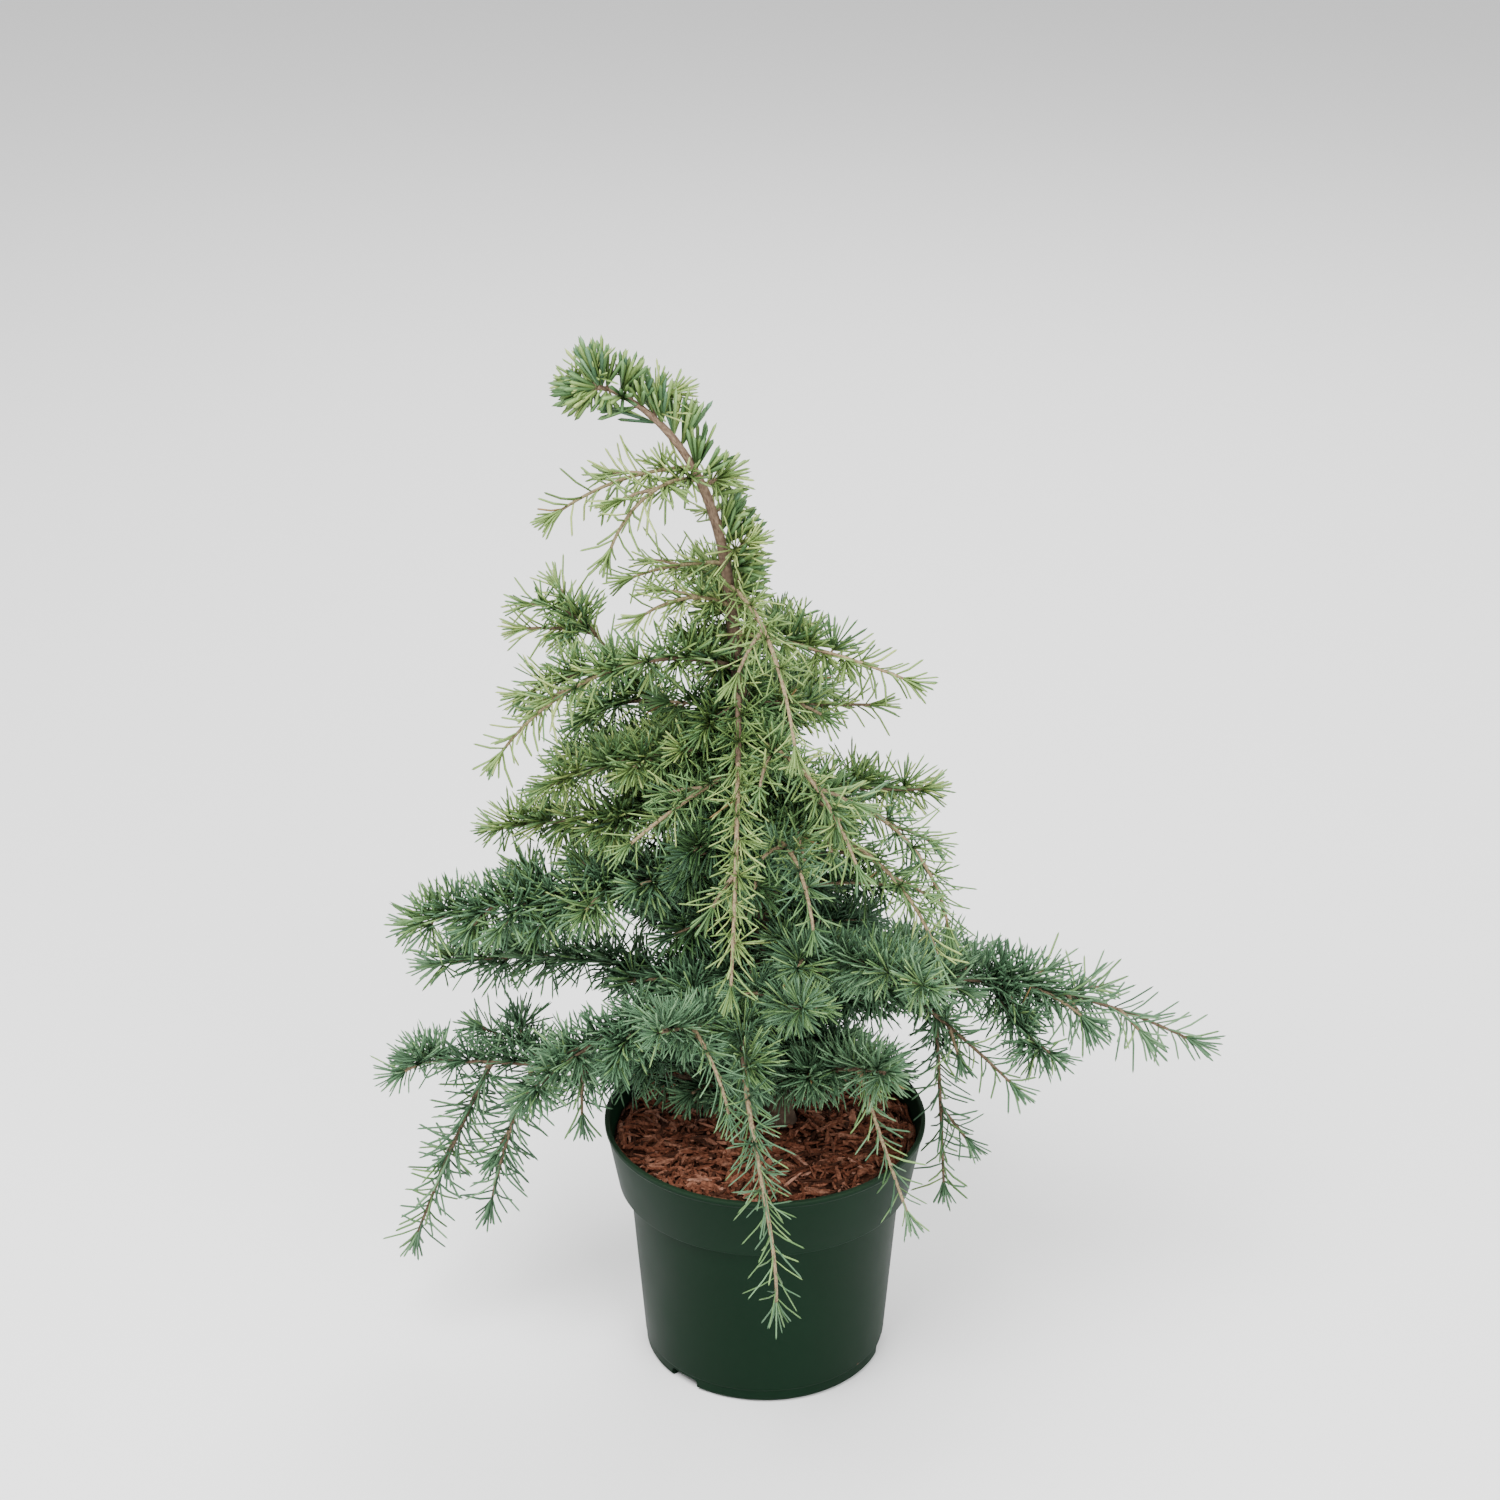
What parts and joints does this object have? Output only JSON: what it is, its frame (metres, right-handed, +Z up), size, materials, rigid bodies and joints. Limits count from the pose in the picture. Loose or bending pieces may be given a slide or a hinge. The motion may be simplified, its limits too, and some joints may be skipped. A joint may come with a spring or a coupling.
{
  "type": "potted deodar cedar",
  "caption": "Young weeping deodar cedar with a leaning, nodding trunk, drooping boughs and sprays of needles, in a round plastic nursery pot filled with bark mulch.",
  "frame": {"origin": "middle of the flat underside of the pot, on the level that it stands on", "axes": "+Z up along the height, +X to the right and -Y to the front as the plant is seen in the picture"},
  "size_m": [0.6108, 0.4566, 0.773],
  "materials": {
    "pot_plastic": "dark green, semi-matt moulded plastic",
    "bark_mulch": "reddish brown shredded bark, rough",
    "bark": "grey-brown bark, rough",
    "needles_low": "blue-green needles, waxy",
    "needles_middle": "mid-green needles, waxy",
    "needles_high": "yellow-green needles, waxy"
  },
  "bodies": {
    "root": {"bough_back_low_left": "bark", "bough_front_left": "bark", "bough_hanging_front": "bark", "bough_high_left": "bark", "bough_long_front": "bark", "bough_long_left": "bark", "bough_long_low_left": "bark", "bough_long_right": "bark", "bough_lowest_left": "bark", "bough_rear_left": "bark", "foliage_arching_front_right": "needles_middle", "foliage_arching_right": "needles_middle", "foliage_back_high": "needles_high", "foliage_back_low": "needles_low", "foliage_back_low_left": "needles_low", "foliage_back_low_right": "needles_low", "foliage_back_middle_left": "needles_middle", "foliage_back_middle_right": "needles_middle", "foliage_back_upper": "needles_high", "foliage_back_upper_right": "needles_high", "foliage_crest": "needles_high", "foliage_crown_front_right": "needles_high", "foliage_crown_hanging": "needles_high", "foliage_crown_left": "needles_high", "foliage_crown_spur": "needles_high", "foliage_front_left": "needles_low", "foliage_front_low_left": "needles_low", "foliage_front_low_right": "needles_low", "foliage_front_right": "needles_middle", "foliage_hanging_front": "needles_low", "foliage_high_left": "needles_high", "foliage_leader": "needles_high", "foliage_long_front": "needles_high", "foliage_long_left": "needles_low", "foliage_long_low_left": "needles_low", "foliage_long_right": "needles_low", "foliage_long_right_front": "needles_low", "foliage_long_right_hanging": "needles_low", "foliage_lowest_left": "needles_low", "foliage_lowest_left_inner": "needles_low", "foliage_lowest_left_outer": "needles_low", "foliage_lowest_left_upper": "needles_low", "foliage_middle_front": "needles_low", "foliage_middle_front_right": "needles_middle", "foliage_middle_left": "needles_middle", "foliage_middle_rear_left": "needles_middle", "foliage_middle_right": "needles_middle", "foliage_rear_left_inner": "needles_middle", "foliage_rear_left_outer": "needles_middle", "foliage_rear_left_tip": "needles_high", "foliage_rim_right": "needles_low", "foliage_short_front": "needles_middle", "foliage_upper_left": "needles_high", "foliage_upper_left_front": "needles_high", "foliage_upper_rear_right": "needles_high", "foliage_upper_right": "needles_high", "foliage_upper_spur": "needles_high", "mulch": "bark_mulch", "pot": "pot_plastic", "trunk": "bark"}
  },
  "joints": []
}
